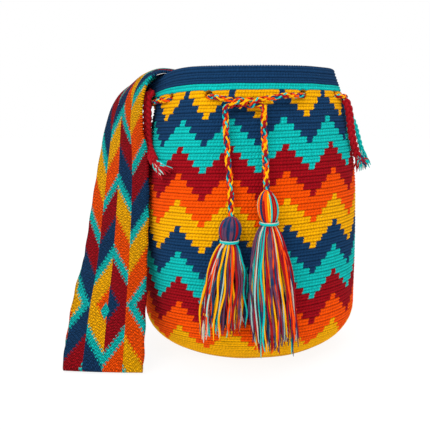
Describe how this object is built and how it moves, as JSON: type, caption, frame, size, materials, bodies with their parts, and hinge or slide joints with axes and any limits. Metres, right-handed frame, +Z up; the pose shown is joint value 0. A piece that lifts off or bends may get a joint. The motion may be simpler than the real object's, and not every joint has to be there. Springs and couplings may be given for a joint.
{
  "type": "crocheted drawstring bucket bag",
  "caption": "Crocheted wayuu mochila bag with stepped zigzag bands, a wide woven strap folded down its left side, and a drawstring that ends in yarn tassels.",
  "frame": {"origin": "the middle of the flat base, on the surface that the bag stands on", "axes": "+Z up, -Y the front, where the drawstring is knotted and its tassels hang, +X the bag's right side as seen from the front; the strap lies down the -X side"},
  "size_m": [0.2977, 0.2001, 0.2837],
  "materials": {
    "crochet": "single crochet in gold yellow, navy, turquoise, crimson and orange, in stepped zigzag bands round the bag; matt acrylic yarn",
    "strap_weave": "finger-woven band in the bag's five colours, in chevrons and diamonds; matt acrylic yarn",
    "crimson_yarn": "plaited crimson yarn with loose ends; matt",
    "turquoise_yarn": "turquoise yarn, plaited or wound; matt",
    "mixed_yarn": "twisted and loose yarn of all the bag's colours; matt, fuzzy"
  },
  "bodies": {
    "root": {"bag_body": "crochet", "strap": "strap_weave", "left_end_braid": "crimson_yarn", "right_end_braid": "crimson_yarn", "right_back_braid": "turquoise_yarn", "drawstring": "mixed_yarn", "left_tail": "mixed_yarn", "right_tail": "mixed_yarn", "left_tassel": "mixed_yarn", "right_tassel": "mixed_yarn", "left_tassel_tie": "turquoise_yarn", "right_tassel_tie": "turquoise_yarn"}
  },
  "joints": []
}
